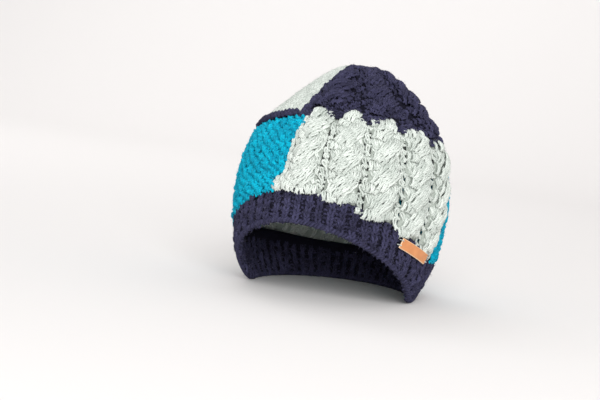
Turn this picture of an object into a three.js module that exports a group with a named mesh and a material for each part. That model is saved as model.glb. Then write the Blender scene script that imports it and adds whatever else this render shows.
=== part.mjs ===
// A patchwork wool beanie, resting on its rim: a ribbed band, a tier of four knitted blocks, and a
// crown of two knitted halves drawn in at the top, with a leather tag sewn to the band.
// Millimetres, +Z up. The hat's front is towards -Y and the wearer's left is towards +X.
// Every knitted piece is a hollow wall: a coarse flat net inside and the stitch relief outside.
import * as THREE from "three";

// Driving dimensions
const HEIGHT = 198; // floor to the top of the crown
const HALF_WIDTH = 90; // widest half width of the plain ground, without cables
const HALF_DEPTH = 104; // widest half depth of the plain ground
const CROWN_LEAN = { side: 1, back: 9 }; // how far the top sits off the middle
const WALL = 4; // plain knitted wall, from the ground inwards
const SEAM_GAP = 0.4; // clear gap between neighbouring pieces
const SEAM_PULL = 6; // width over which a block thins towards its seams
const SEAM_SKEW = 24; // degrees that the seam behind the tag turns back from its foot to its head

const ARCH = 65; // how far the front of the rim stands up from the floor
const ARCH_SPAN = { tagSide: 96, farSide: 80 }; // degrees from the front over which it is raised
const ARCH_EASE = 0.12; // share of the rise over which the rim eases off the floor
const BAND_FRONT = 28; // height of the band at the front and the back
const BAND_SIDE = 11; // extra height of the band at the sides, where it runs aslant
const RIBS = 60;
const RIB_RELIEF = 1.7;

const TIER_LINE = 134; // mean height of the line between the blocks and the crown
const TIER_SLOPE = 22; // how much higher that line is in front, and lower behind
const TIER_TURN = 15; // degrees from the front to the line's highest point
const WELT = 5; // height of the navy row under the pale half of the crown
const WELT_RELIEF = 2.6;
const GATHER_REACH = 0.12; // share of the widest reach that the drawn-in top covers
const GATHER_HOLE = 0.012; // share of the widest reach left open in its middle

const PILLOW = 1.6; // how far a block swells between its seams
const CABLE_HALF = 15; // half width of one cable
const CABLE_RISE = 4; // height of a cable's rounded back above the ground
const CABLE_TWIST = 1.2; // rise and fall of its strands as they pass over and under
const CABLE_CROSSING = 17; // length of cable from one strand to the next
const CABLE_SLANT = 0.7; // upward run of a strand for each millimetre sideways

// The tag: its middle is turned from the front and drops below the band's last row
const TAG = { length: 41, height: 9, thickness: 1.5, turn: 68.5, drop: 8.5, slantDegrees: 22 };

const COLOURS = { navy: 0x32314a, teal: 0x0aa0bf, pale: 0xcfd6cf, leather: 0xc98a55 };

// The hat's outline: height as a share of HEIGHT, reach as a share of the widest reach
const OUTLINE = [
  { up: 0.0, reach: 0.79 },
  { up: 0.115, reach: 0.905 },
  { up: 0.25, reach: 0.975 },
  { up: 0.42, reach: 1.0 },
  { up: 0.58, reach: 0.95 },
  { up: 0.71, reach: 0.84 },
  { up: 0.84, reach: 0.58 },
  { up: 0.94, reach: 0.345 },
  { up: 0.985, reach: 0.19 },
  { up: 1.0, reach: 0.0 },
];

// Blocks of the lower tier, by the angle from the front to their two side seams, half way up them
const BLOCKS = [
  { name: "block_front", yarn: "pale", from: -12, to: 100, skewTo: SEAM_SKEW, cables: 5 },
  { name: "block_right", yarn: "teal", from: 100, to: 178, skewFrom: SEAM_SKEW, cables: 0 },
  { name: "block_back", yarn: "pale", from: 178, to: 257, cables: 4 },
  { name: "block_left", yarn: "teal", from: 257, to: 348, cables: 0 },
];
const CROWN_SEAMS = { first: -22, second: 158 };

// Fineness of the nets
const NET = {
  rib: 4, // outer columns for each rib
  bandRows: 3,
  cable: 10, // outer columns for each cable
  cableRows: 18,
  plainStep: 6, // degrees for each outer column of a plain block
  plainRows: 9,
  innerStep: 3, // degrees for each inner column
  innerRows: 3,
};

const radians = THREE.MathUtils.degToRad;
const clamp01 = (x) => THREE.MathUtils.clamp(x, 0, 1);

// The ground surface
const MEAN_REACH = (HALF_WIDTH + HALF_DEPTH) / 2;
const outline = new THREE.SplineCurve(
  OUTLINE.map(({ up, reach }) => new THREE.Vector2(reach * MEAN_REACH, up * HEIGHT)),
);
const OUTLINE_STEPS = 400;
const outlinePoints = outline.getSpacedPoints(OUTLINE_STEPS);
const OUTLINE_LENGTH = outline.getLength();

// The outline point at a share of the way from the rim to the top
function outlineAt(share) {
  const place = clamp01(share) * OUTLINE_STEPS;
  const low = Math.min(Math.floor(place), OUTLINE_STEPS - 1);
  return outlinePoints[low].clone().lerp(outlinePoints[low + 1], place - low);
}

// The share of the way along the outline at which it reaches a height, or comes in to a reach
function shareWhere(passed) {
  let low = 0;
  let high = 1;
  for (let halving = 0; halving < 40; halving++) {
    const middle = (low + high) / 2;
    if (passed(outlineAt(middle))) high = middle;
    else low = middle;
  }
  return high;
}
const shareAtHeight = (height) => shareWhere((point) => point.y >= height);
const shareAtReach = (reach) =>
  shareWhere((point) => point.y > HEIGHT / 2 && point.x <= reach * MEAN_REACH);

const FULL_WALL_HEIGHT = 0.4 * HEIGHT; // below this the wall is measured level, above it squarely
const TOP_ROUNDNESS = 0.6 * HEIGHT;

// A point of the hat at an angle from the front and a share of the outline, raised off the ground
function surfacePoint(turn, share, raised) {
  const section = outlineAt(share);
  const reach = section.x / MEAN_REACH;
  const across = HALF_WIDTH * reach * Math.sin(radians(turn));
  const along = -HALF_DEPTH * reach * Math.cos(radians(turn));
  const above = Math.max(0, section.y - FULL_WALL_HEIGHT);
  const outwards = new THREE.Vector3(
    across / HALF_WIDTH ** 2,
    along / HALF_DEPTH ** 2,
    above / TOP_ROUNDNESS ** 2,
  ).normalize();
  const lean = (section.y / HEIGHT) ** 2;
  return new THREE.Vector3(
    across + CROWN_LEAN.side * lean,
    along + CROWN_LEAN.back * lean,
    section.y,
  ).addScaledVector(outwards, raised);
}

// Length in millimetres of one degree round the hat at a share of the outline
function degreeLength(share) {
  return radians(outlineAt(share).x);
}

// The lines between the tiers, as heights at an angle from the front
function rimHeight(turn) {
  const { tagSide, farSide } = ARCH_SPAN;
  const span = Math.cos(radians(Math.sin(radians(turn)) > 0 ? tagSide : farSide));
  const lift = clamp01((Math.cos(radians(turn)) - span) / (1 - span));
  const eased = lift < 2 * ARCH_EASE ? lift ** 2 / (4 * ARCH_EASE) : lift - ARCH_EASE;
  return (ARCH * eased) / (1 - ARCH_EASE);
}
const bandTop = (turn) => rimHeight(turn) + BAND_FRONT + BAND_SIDE * Math.sin(radians(turn)) ** 4;
const tierLine = (turn) => TIER_LINE + TIER_SLOPE * Math.cos(radians(turn - TIER_TURN));

// Joins two edges of different fineness, each a row of vertex numbers, into one strip of triangles
function zip(outer, inner) {
  const triangles = [];
  let a = 0;
  let b = 0;
  while (a < outer.length - 1 || b < inner.length - 1) {
    const outerNext = (a + 1) / (outer.length - 1);
    const innerNext = (b + 1) / (inner.length - 1);
    if (a < outer.length - 1 && outerNext <= innerNext + 1e-9) {
      triangles.push(outer[a + 1], outer[a], inner[b]);
      a += 1;
    } else {
      triangles.push(outer[a], inner[b], inner[b + 1]);
      b += 1;
    }
  }
  return triangles;
}

// A net of points over a piece, as rows of vertex numbers; a ring's last column is its first
function addNet(points, columns, rows, ring, pointAt) {
  const kept = ring ? columns : columns + 1;
  const first = points.length;
  for (let row = 0; row <= rows; row++) {
    for (let column = 0; column < kept; column++) {
      points.push(pointAt(column / columns, row / rows));
    }
  }
  return (column, row) => first + row * kept + (column % kept);
}

function netTriangles(net, columns, rows, outwards) {
  const triangles = [];
  for (let row = 0; row < rows; row++) {
    for (let column = 0; column < columns; column++) {
      const a = net(column, row);
      const b = net(column + 1, row);
      const c = net(column + 1, row + 1);
      const d = net(column, row + 1);
      triangles.push(...(outwards ? [a, b, c, a, c, d] : [a, c, b, a, d, c]));
    }
  }
  return triangles;
}

// The four edges of a net in turn: bottom, right, top and left, each as vertex numbers
function edges(net, columns, rows) {
  const bottom = Array.from({ length: columns + 1 }, (_, i) => net(i, 0));
  const right = Array.from({ length: rows + 1 }, (_, j) => net(columns, j));
  const top = Array.from({ length: columns + 1 }, (_, i) => net(columns - i, rows));
  const left = Array.from({ length: rows + 1 }, (_, j) => net(0, rows - j));
  return { bottom, right, top, left };
}

// Places on a piece between two tier lines and two side seams, across (0 to 1) and up (0 to 1) it.
// A skewed seam turns evenly from its foot to its head, and the turn dies away across the piece.
function betweenSeams({ from, to, skewFrom = 0, skewTo = 0, low, high, ring }) {
  return (across, up) => {
    const skew = (up - 0.5) * (skewFrom * (1 - across) ** 3 + skewTo * across ** 3);
    const sideGap = ring ? 0 : SEAM_GAP / 2;
    const roughTurn = from + (to - from) * across + skew;
    const roughShare = THREE.MathUtils.lerp(low(roughTurn), high(roughTurn), up);
    const side = sideGap / degreeLength(roughShare);
    const turn = from + side + (to - from - 2 * side) * across + skew;
    return { turn, share: THREE.MathUtils.lerp(low(turn), high(turn), up) };
  };
}

// A closed wall over the places of a piece. outside and inside give how far each face stands off the
// ground there.
function wall({ ring = false, columns, rows, inner, outside, inside, ...piece }) {
  const points = [];
  const place = piece.place ?? betweenSeams({ ...piece, ring });
  const at = (raised) => (across, up) => {
    const { turn, share } = place(across, up);
    return surfacePoint(turn, share, raised({ across, up, turn, share }));
  };
  const front = addNet(points, columns, rows, ring, at(outside));
  const back = addNet(points, inner.columns, inner.rows, ring, at(inside));
  const frontEdges = edges(front, columns, rows);
  const backEdges = edges(back, inner.columns, inner.rows);
  const sides = ring ? ["bottom", "top"] : ["bottom", "right", "top", "left"];
  const triangles = [
    ...netTriangles(front, columns, rows, true),
    ...netTriangles(back, inner.columns, inner.rows, false),
    ...sides.flatMap((side) => zip(frontEdges[side], backEdges[side])),
  ];
  const geometry = new THREE.BufferGeometry().setFromPoints(points);
  geometry.setIndex(triangles);
  geometry.computeVertexNormals();
  return geometry;
}

const gapShare = SEAM_GAP / 2 / OUTLINE_LENGTH;
const aboveLine = (line) => (turn) => shareAtHeight(line(turn)) + gapShare;
const belowLine = (line) => (turn) => shareAtHeight(line(turn)) - gapShare;

// How full a block is near its seams: 0 at an edge, 1 away from it
function fullness(across, up, widthMm, heightMm) {
  const nearest = Math.min(
    across * widthMm,
    (1 - across) * widthMm,
    up * heightMm,
    (1 - up) * heightMm,
  );
  const inwards = clamp01(nearest / SEAM_PULL);
  return Math.sqrt(inwards * (2 - inwards));
}

// Height of a rope cable above the ground, sideways from its middle and along its length in
// millimetres: a rounded back, with slanting strands that fade out at its sides
function cableHeight(sideways, lengthwise, half) {
  const inside = Math.max(0, 1 - (sideways / half) ** 2);
  const strand = (2 * Math.PI * (lengthwise - CABLE_SLANT * sideways)) / CABLE_CROSSING;
  return CABLE_RISE * Math.sqrt(inside) + CABLE_TWIST * inside * Math.cos(strand);
}

// The outer face of a knitted block with a number of cables, or none
function blockRelief({ from, to, low, high, cables }) {
  return ({ across, up, turn, share }) => {
    const width = (to - from) * degreeLength(share);
    const height = (high(turn) - low(turn)) * OUTLINE_LENGTH;
    const full = fullness(across, up, width, height);
    if (!cables) return PILLOW * full;
    const pitch = width / cables;
    const sideways = ((across * cables) % 1) * pitch - pitch / 2;
    const half = Math.min(CABLE_HALF, 0.42 * pitch);
    return full * cableHeight(across === 1 ? pitch / 2 : sideways, up * height, half);
  };
}

function blockGeometry(block) {
  const degrees = block.to - block.from;
  const columns = block.cables ? block.cables * NET.cable : Math.round(degrees / NET.plainStep);
  return wall({
    ...block,
    columns,
    rows: block.cables ? NET.cableRows : NET.plainRows,
    inner: { columns: Math.round(degrees / NET.innerStep), rows: NET.innerRows },
    outside: blockRelief(block),
    inside: () => -WALL,
  });
}

// A ribbed band whose lower edge is flat on the floor at the back and sides and arched in front
function bandGeometry() {
  return wall({
    from: 0,
    to: 360,
    ring: true,
    low: (turn) => shareAtHeight(rimHeight(turn)),
    high: belowLine(bandTop),
    columns: RIBS * NET.rib,
    rows: NET.bandRows,
    inner: { columns: 2 * RIBS, rows: 1 },
    outside: ({ across }) => RIB_RELIEF * (0.5 + 0.5 * Math.cos(2 * Math.PI * RIBS * across)),
    inside: () => -WALL,
  });
}

// A thick row of stitches laid round the foot of the pale half of the crown
function weltGeometry(from, to, low, high) {
  return wall({
    from,
    to,
    low,
    high,
    columns: Math.round((to - from) / NET.plainStep),
    rows: 4,
    inner: { columns: Math.round((to - from) / NET.innerStep), rows: 1 },
    outside: ({ up }) => WELT_RELIEF * Math.sin(Math.PI * up),
    inside: () => -WALL,
  });
}

// The last rows of the crown, drawn together on a thread
function gatherGeometry() {
  return wall({
    from: 0,
    to: 360,
    ring: true,
    low: () => shareAtReach(GATHER_REACH) + gapShare,
    high: () => shareAtReach(GATHER_HOLE),
    columns: 16,
    rows: 4,
    inner: { columns: 16, rows: 2 },
    outside: ({ up }) => PILLOW * Math.sin(Math.PI * up),
    inside: () => -WALL,
  });
}

// A flat strip of leather bent round the band, just clear of its ribs, and slanting down with it
function tagGeometry() {
  const middle = bandTop(TAG.turn) - TAG.drop;
  const degree = degreeLength(shareAtHeight(middle));
  const slant = radians(TAG.slantDegrees);
  const under = RIB_RELIEF + SEAM_GAP;
  const place = (across, up) => {
    const along = TAG.length * (across - 0.5);
    const upwards = TAG.height * (up - 0.5);
    const sideways = along * Math.cos(slant) + upwards * Math.sin(slant);
    const height = middle + upwards * Math.cos(slant) - along * Math.sin(slant);
    return { turn: TAG.turn + sideways / degree, share: shareAtHeight(height) };
  };
  return wall({
    place,
    columns: 10,
    rows: 1,
    inner: { columns: 10, rows: 1 },
    outside: () => under + TAG.thickness,
    inside: () => under,
  });
}

// Assembly
const hat = new THREE.Group();
hat.name = "wool_hat";

function addPiece(name, geometry, colour, roughness) {
  const material = new THREE.MeshStandardMaterial({ color: colour, roughness, metalness: 0 });
  const piece = new THREE.Mesh(geometry, material);
  piece.name = name;
  hat.add(piece);
}

addPiece("band", bandGeometry(), COLOURS.navy, 0.95);
for (const block of BLOCKS) {
  const tier = { low: aboveLine(bandTop), high: belowLine(tierLine) };
  addPiece(block.name, blockGeometry({ ...block, ...tier }), COLOURS[block.yarn], 0.95);
}

const crownTop = () => shareAtReach(GATHER_REACH) - gapShare;
const crownFoot = aboveLine(tierLine);
const weltShare = WELT / OUTLINE_LENGTH;
const { first, second } = CROWN_SEAMS;
addPiece(
  "crown_navy",
  blockGeometry({ from: first, to: second, low: crownFoot, high: crownTop, cables: 4 }),
  COLOURS.navy,
  0.95,
);
addPiece(
  "crown_welt",
  weltGeometry(second, first + 360, crownFoot, (turn) => crownFoot(turn) + weltShare),
  COLOURS.navy,
  0.95,
);
addPiece(
  "crown_pale",
  blockGeometry({
    from: second,
    to: first + 360,
    low: (turn) => crownFoot(turn) + weltShare + 2 * gapShare,
    high: crownTop,
    cables: 0,
  }),
  COLOURS.pale,
  0.95,
);
addPiece("crown_gather", gatherGeometry(), COLOURS.navy, 0.95);
addPiece("leather_tag", tagGeometry(), COLOURS.leather, 0.6);

// The frame's origin is on the floor, under the middle of the hat's outer box
const box = new THREE.Box3().setFromObject(hat);
const middle = box.getCenter(new THREE.Vector3());
for (const piece of hat.children) piece.position.set(-middle.x, -middle.y, 0);

export default hat;
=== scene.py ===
# A patchwork knitted beanie, resting on its rim on a pale floor, dressed stitch by stitch in wool.
import bpy
import numpy as np
from mathutils import Matrix, Vector


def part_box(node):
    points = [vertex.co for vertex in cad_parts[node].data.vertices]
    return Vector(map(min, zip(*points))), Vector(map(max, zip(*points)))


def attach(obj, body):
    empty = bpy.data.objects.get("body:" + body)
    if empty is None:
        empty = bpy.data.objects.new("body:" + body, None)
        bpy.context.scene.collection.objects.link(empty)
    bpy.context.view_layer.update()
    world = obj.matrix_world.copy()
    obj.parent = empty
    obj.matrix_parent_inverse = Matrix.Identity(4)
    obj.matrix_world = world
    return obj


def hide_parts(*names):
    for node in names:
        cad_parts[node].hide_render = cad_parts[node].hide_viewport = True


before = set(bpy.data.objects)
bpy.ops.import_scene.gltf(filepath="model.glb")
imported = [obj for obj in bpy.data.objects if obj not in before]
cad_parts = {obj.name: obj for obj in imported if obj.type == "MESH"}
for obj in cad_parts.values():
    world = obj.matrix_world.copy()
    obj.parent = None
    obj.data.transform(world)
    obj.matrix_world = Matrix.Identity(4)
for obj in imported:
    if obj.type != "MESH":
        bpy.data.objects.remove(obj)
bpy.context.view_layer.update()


# Band
# A ring of one-by-one rib in navy wool: knitted columns stand out and purl columns sink between
# them. It is cast on with a twisted edge, which lies on the floor at the back and the sides and
# arches up over the brow, and the blocks above are knitted on from its last row.

HEIGHT = 0.198
HALF_WIDTH = 0.090
HALF_DEPTH = 0.104
CROWN_LEAN = np.array([0.001, 0.009])
MEAN_REACH = (HALF_WIDTH + HALF_DEPTH) / 2
LEVEL_HEIGHT = 0.4 * HEIGHT
ROUND_HEIGHT = 0.6 * HEIGHT
OUTLINE_SAMPLES = 3600
OUTLINE_UP = np.array([0.0, 0.115, 0.25, 0.42, 0.58, 0.71, 0.84, 0.94, 0.985, 1.0])
OUTLINE_REACH = np.array([0.79, 0.905, 0.975, 1.0, 0.95, 0.84, 0.58, 0.345, 0.19, 0.0])
gather_low, gather_high = (np.array(corner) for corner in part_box("crown_gather"))
HAT_MIDDLE = (gather_low + gather_high)[:2] / 2 - CROWN_LEAN


def smooth_curve(points, steps):
    """A Catmull-Rom curve: between two neighbouring points, the cubic whose slope at each of them is
    half the step from the point before it to the point after it."""
    place = np.linspace(0, len(points) - 1, steps + 1)
    left = np.minimum(place.astype(int), len(points) - 2)
    part = (place - left)[:, None]
    before, start = points[np.maximum(left - 1, 0)], points[left]
    end, after = points[left + 1], points[np.minimum(left + 2, len(points) - 1)]
    slope_start, slope_end = (end - before) / 2, (after - start) / 2
    cubic = 2 * start - 2 * end + slope_start + slope_end
    square = -3 * start + 3 * end - 2 * slope_start - slope_end
    return cubic * part**3 + square * part**2 + slope_start * part + start


outline = smooth_curve(
    np.stack([OUTLINE_REACH * MEAN_REACH, OUTLINE_UP * HEIGHT], axis=1), OUTLINE_SAMPLES
)
outline_steps = np.hypot(*np.diff(outline, axis=0).T)
outline_run = np.concatenate([[0.0], np.cumsum(outline_steps)])
OUTLINE_LENGTH = outline_run[-1]


def reach_at(share):
    """How far the ground stands from the hat's middle, on average, at a share of the outline."""
    return np.interp(np.clip(share, 0, 1) * OUTLINE_LENGTH, outline_run, outline[:, 0])


def height_at(share):
    """How high the ground stands at a share of the way along the outline from rim to top."""
    return np.interp(np.clip(share, 0, 1) * OUTLINE_LENGTH, outline_run, outline[:, 1])


def share_at_height(height):
    """The share of the outline at which it comes up to a height."""
    return np.interp(height, outline[:, 1], outline_run) / OUTLINE_LENGTH


def outwards(turn, share):
    """The way out of the wall: the normal of an ellipsoid whose middle is at the level height, and
    level below that."""
    reach = reach_at(share) / MEAN_REACH
    above = np.maximum(height_at(share) - LEVEL_HEIGHT, 0)
    way = np.stack(
        [
            reach * np.sin(np.radians(turn)) / HALF_WIDTH,
            -reach * np.cos(np.radians(turn)) / HALF_DEPTH,
            above / ROUND_HEIGHT**2,
        ],
        axis=-1,
    )
    return way / np.linalg.norm(way, axis=-1, keepdims=True)


def on_hat(turn, share, raised):
    """A point of the hat: on the ellipse that the outline's reach gives at its height, turned by an
    angle from the front, leaning with the square of the height, and raised along the way out."""
    reach, height = reach_at(share) / MEAN_REACH, height_at(share)
    lean = (height / HEIGHT) ** 2
    ground = np.stack(
        [
            HAT_MIDDLE[0] + HALF_WIDTH * reach * np.sin(np.radians(turn)) + CROWN_LEAN[0] * lean,
            HAT_MIDDLE[1] - HALF_DEPTH * reach * np.cos(np.radians(turn)) + CROWN_LEAN[1] * lean,
            height,
        ],
        axis=-1,
    )
    return ground + np.asarray(raised)[..., None] * outwards(turn, share)


def degree_length(share):
    """The length of one degree round the hat."""
    return np.maximum(np.radians(reach_at(share)), 1e-6)


ARCH = 0.065
ARCH_SPAN_TAG_SIDE = np.cos(np.radians(96))
ARCH_SPAN_FAR_SIDE = np.cos(np.radians(80))
ARCH_EASE = 0.12
BAND_FRONT = 0.028
BAND_SIDE = 0.011


def rim_line(turn):
    """Height of the rim: nought round the back, then eased into a rise that goes with the cosine of
    the angle from the front, and that starts farther back on the side with the tag."""
    span = np.where(np.sin(np.radians(turn)) > 0, ARCH_SPAN_TAG_SIDE, ARCH_SPAN_FAR_SIDE)
    lift = np.clip((np.cos(np.radians(turn)) - span) / (1 - span), 0, 1)
    eased = np.where(lift < 2 * ARCH_EASE, lift**2 / (4 * ARCH_EASE), lift - ARCH_EASE)
    return ARCH * eased / (1 - ARCH_EASE)


def band_top_line(turn):
    """Height of the band's last row: the rim's height plus the band's, which is more at the sides."""
    return rim_line(turn) + BAND_FRONT + BAND_SIDE * np.sin(np.radians(turn)) ** 4


STITCH_WIDTH = 0.004
YARN_RADIUS = 0.00128
LOOP_SAMPLES = 10
YARN_SIDES = 5
LOOP_SWAY = 0.24
LOOP_REACH = 0.80
LOOP_DEPTH = 0.0009
LOOP_SQUEEZE = 0.14
LOOP_TURNING = 0.22
SLACK_SLANT = 1.5
YARN_SEED = 11
draw = np.random.default_rng(YARN_SEED)


def stitch_chart(turn, share, wide, tall, face=1.0, **more):
    """A list of stitches: the place of each one's middle, its width, its row's height, its face (knit
    1, purl -1) and its neighbours' faces, its slant, and how far it is raised and loops in and out."""
    chart = {"turn": turn, "share": share, "wide": wide, "tall": tall, "face": face}
    chart |= {"before": face, "after": face, "slant": 0.0, "raised": 0.0, "depth": LOOP_DEPTH, **more}
    size = np.shape(turn)
    return {name: np.broadcast_to(np.asarray(value, float), size).ravel() for name, value in chart.items()}


def joined(*charts):
    """Several lists of stitches as one."""
    return {name: np.concatenate([chart[name] for chart in charts]) for name in charts[0]}


def loosened(chart, slack):
    """Hand knitting: each stitch a little off its place, its slant and its height."""
    noise = draw.normal(0, slack, (4, chart["turn"].size))
    return chart | {
        "turn": chart["turn"] + noise[0] * STITCH_WIDTH / degree_length(chart["share"]),
        "share": chart["share"] + noise[1] * STITCH_WIDTH / OUTLINE_LENGTH,
        "slant": chart["slant"] + noise[2] * SLACK_SLANT,
        "raised": chart["raised"] + noise[3] * STITCH_WIDTH,
    }


def knit_loops(turn, share, wide, tall, face, before, after, slant, raised, depth):
    """The yarn's middle line through many stitches at once. Along one stitch the yarn goes evenly
    sideways with two sways to and fro, down and up once with a cosine, and in and out twice with a
    cosine: legs out on the knit face (1), loops out on the purl face (-1). The face eases into the
    neighbouring stitches', and the whole loop is turned by its slant. The yarn swells where it is out
    and is squeezed where it is in."""
    part = np.linspace(0, 1, LOOP_SAMPLES + 1)[None, :]
    turn, share, wide, tall, face, before, after, slant, raised, depth = (
        value[:, None] for value in (turn, share, wide, tall, face, before, after, slant, raised, depth)
    )
    sideways = wide * (part - 0.5 + LOOP_SWAY * np.sin(4 * np.pi * part))
    upwards = -tall * LOOP_REACH * np.cos(2 * np.pi * part)
    into = np.clip(1 - part / LOOP_TURNING, 0, 1) ** 2
    out_of = np.clip(1 - (1 - part) / LOOP_TURNING, 0, 1) ** 2
    shown = face + (before - face) / 2 * into + (after - face) / 2 * out_of
    out = -np.cos(4 * np.pi * part) * shown
    across = sideways * np.cos(slant) + upwards * np.sin(slant)
    along = upwards * np.cos(slant) - sideways * np.sin(slant)
    turns = turn + across / degree_length(share)
    shares = share + along / OUTLINE_LENGTH
    paths = on_hat(turns, shares, raised + depth * out)
    return paths, outwards(turns, shares), 1 + LOOP_SQUEEZE * out


def unit(vectors):
    """Vectors of length one."""
    return vectors / np.maximum(np.linalg.norm(vectors, axis=-1, keepdims=True), 1e-12)


FLOOR_CLEAR = 0.0001


def above_floor(points):
    """Points with whatever would sink into the floor pressed flat on it."""
    return np.concatenate([points[:, :2], np.maximum(points[:, 2:], FLOOR_CLEAR)], axis=1)


def yarn_tubes(paths, ways, radius):
    """Round tubes along paths: at each point a ring of the yarn's radius, square to the path, with
    its sides joined to the next ring's and both ends closed."""
    along = unit(np.gradient(paths, axis=1))
    beside = unit(np.cross(along, ways))
    above = np.cross(beside, along)
    angle = np.arange(YARN_SIDES) * 2 * np.pi / YARN_SIDES
    spokes = (
        beside[:, :, None, :] * np.cos(angle)[:, None] + above[:, :, None, :] * np.sin(angle)[:, None]
    )
    size = np.broadcast_to(radius, paths.shape[:2])[:, :, None, None]
    points = paths[:, :, None, :] + spokes * size
    tubes, rings = paths.shape[:2]
    number = np.arange(tubes * rings * YARN_SIDES).reshape(tubes, rings, YARN_SIDES)
    beyond = np.roll(number, -1, axis=2)
    sides = np.stack([number[:, :-1], number[:, 1:], beyond[:, 1:], beyond[:, :-1]], axis=-1)
    ends = np.concatenate([number[:, 0], number[:, -1, ::-1]])
    return above_floor(points.reshape(-1, 3)), sides.reshape(-1, 4), ends, spokes.reshape(-1, 3)


def add_piece(name, points, faces, material):
    """A new smooth-shaded mesh piece with its place in its mesh."""
    mesh = bpy.data.meshes.new(name)
    mesh.from_pydata(points.tolist(), [], faces)
    mesh.shade_smooth()
    mesh.materials.append(material)
    piece = bpy.data.objects.new(name, mesh)
    bpy.context.scene.collection.objects.link(piece)
    return piece


def settle(piece, node):
    """Fixes a piece to the hat in the place of a CAD node, and hides that node."""
    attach(piece, "root")
    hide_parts(node)


def knit_piece(name, node, dye, paths, ways, radius):
    """All the stitches of one piece as one mesh, with the run of the yarn in its UV map and a shade
    for each stitch in an attribute."""
    points, sides, ends, spokes = yarn_tubes(paths, ways, radius)
    piece = add_piece(name, points, sides.tolist() + ends.tolist(), dye["yarn"])
    rings = paths.shape[1]
    run = np.linspace(0, 1, rings)
    around = np.arange(YARN_SIDES + 1) / YARN_SIDES
    low, high = np.meshgrid(run[:-1], around[:-1], indexing="ij")
    low_next, high_next = np.meshgrid(run[1:], around[1:], indexing="ij")
    corners = np.stack(
        [
            np.stack([low, high], -1),
            np.stack([low_next, high], -1),
            np.stack([low_next, high_next], -1),
            np.stack([low, high_next], -1),
        ],
        axis=2,
    )
    side_uv = np.tile(corners.reshape(-1, 2), (len(paths), 1))
    uv = np.concatenate([side_uv, np.zeros((ends.size, 2))])
    piece.data.uv_layers.new(name="yarn").data.foreach_set("uv", uv.ravel())
    shade = np.repeat(draw.random(len(paths)), rings * YARN_SIDES)
    piece.data.attributes.new("stitch_shade", "FLOAT", "POINT").data.foreach_set("value", shade)
    settle(piece, node)
    return points, spokes


HAIR_RADIUS = 0.00008
HAIR_LENGTH = 0.0029
HAIR_SPREAD = 0.9
HAIR_UNEVEN = (0.4, 1.3)


def fuzz_piece(name, node, dye, points, spokes, count):
    """Loose fibres of wool: slender three-sided spikes that leave the yarn at a slant, rooted at yarn
    points picked at random."""
    root = draw.integers(len(points), size=count)
    way = unit(spokes[root] + draw.normal(0, HAIR_SPREAD, (count, 3)))
    foot = points[root]
    tip = foot + way * HAIR_LENGTH * draw.uniform(*HAIR_UNEVEN, (count, 1))
    first = unit(np.cross(way, draw.normal(0, 1, (count, 3))))
    second = np.cross(way, first)
    angle = np.arange(3) * 2 * np.pi / 3
    spread = (
        first[:, None, :] * np.cos(angle)[:, None] + second[:, None, :] * np.sin(angle)[:, None]
    )
    hair = np.concatenate([foot[:, None] + spread * HAIR_RADIUS, tip[:, None]], axis=1)
    sides = np.array([[0, 1, 3], [1, 2, 3], [2, 0, 3], [2, 1, 0]])
    faces = np.arange(count)[:, None, None] * 4 + sides
    piece = add_piece(name, above_floor(hair.reshape(-1, 3)), faces.reshape(-1, 3).tolist(), dye["fuzz"])
    settle(piece, node)


BACKING_RAISED = -0.0006
BACKING_THICK = 0.0008


def level_ground(across, up):
    """The height of the sheet of painted shade under plain knitting: the same all over."""
    return np.full(np.shape(across), BACKING_RAISED)


def backing_piece(name, node, dye, place, lines, rows, ground=level_ground, open_meshes=None):
    """The thin sheet behind the stitches, which closes the gaps between them and is coloured darker
    than the yarn as painted shade in those gaps: a grid over the piece with columns at the given lines,
    joined to itself where it comes all the way round, and given a small thickness inwards. Open meshes are
    holes."""
    across, up = np.meshgrid(lines, np.linspace(0, 1, rows + 1))
    points = on_hat(*place(across, up), ground(across, up))
    ring = np.allclose(points[:, 0], points[:, -1])
    columns = lines.size - 1 if ring else lines.size
    points = points[:, :columns].reshape(-1, 3)
    number = np.arange(rows + 1)[:, None] * columns + np.arange(lines.size) % columns
    faces = np.stack([number[:-1, :-1], number[:-1, 1:], number[1:, 1:], number[1:, :-1]], axis=-1)
    faces = faces.reshape(-1, 4) if open_meshes is None else faces[~open_meshes]
    piece = add_piece(name, points, faces.tolist(), dye["shade_and_highlight_fibres"])
    solid = piece.modifiers.new("thickness", "SOLIDIFY")
    solid.thickness = BACKING_THICK
    solid.offset = -1
    settle(piece, node)


def even_lines(columns):
    """Lines at even steps across a piece."""
    return np.linspace(0, 1, columns + 1)


def between(start, end, low, high, skew_start=0, skew_end=0):
    """Places a piece: across it from one side seam to the other, and up it from one line to another. A
    skewed seam turns evenly from its foot to its head, and the turn dies away across with a cube."""

    def place(across, up):
        skew = (up - 0.5) * (skew_start * (1 - across) ** 3 + skew_end * across**3)
        turn = start + (end - start) * across + skew
        low_share = share_at_height(low(turn))
        return turn, low_share + (share_at_height(high(turn)) - low_share) * up

    return place


def linear(red, green, blue):
    """A colour as seen on a screen, 0 to 255, in linear light."""
    seen = np.array([red, green, blue]) / 255
    light = np.where(seen <= 0.04045, seen / 12.92, ((seen + 0.055) / 1.055) ** 2.4)
    return (*light.tolist(), 1.0)


def feed(tree, node, inputs):
    """Gives each of a node's input sockets its value, or joins it to the output that feeds it."""
    for socket, value in inputs.items():
        if isinstance(value, bpy.types.NodeSocket):
            tree.links.new(value, node.inputs[socket])
        else:
            node.inputs[socket].default_value = value


def add_node(tree, kind, inputs=None, **settings):
    """A new shader node with its settings and with what goes into it."""
    node = tree.nodes.new(f"ShaderNode{kind}")
    for name, value in settings.items():
        setattr(node, name, value)
    feed(tree, node, inputs or {})
    return node


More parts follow.
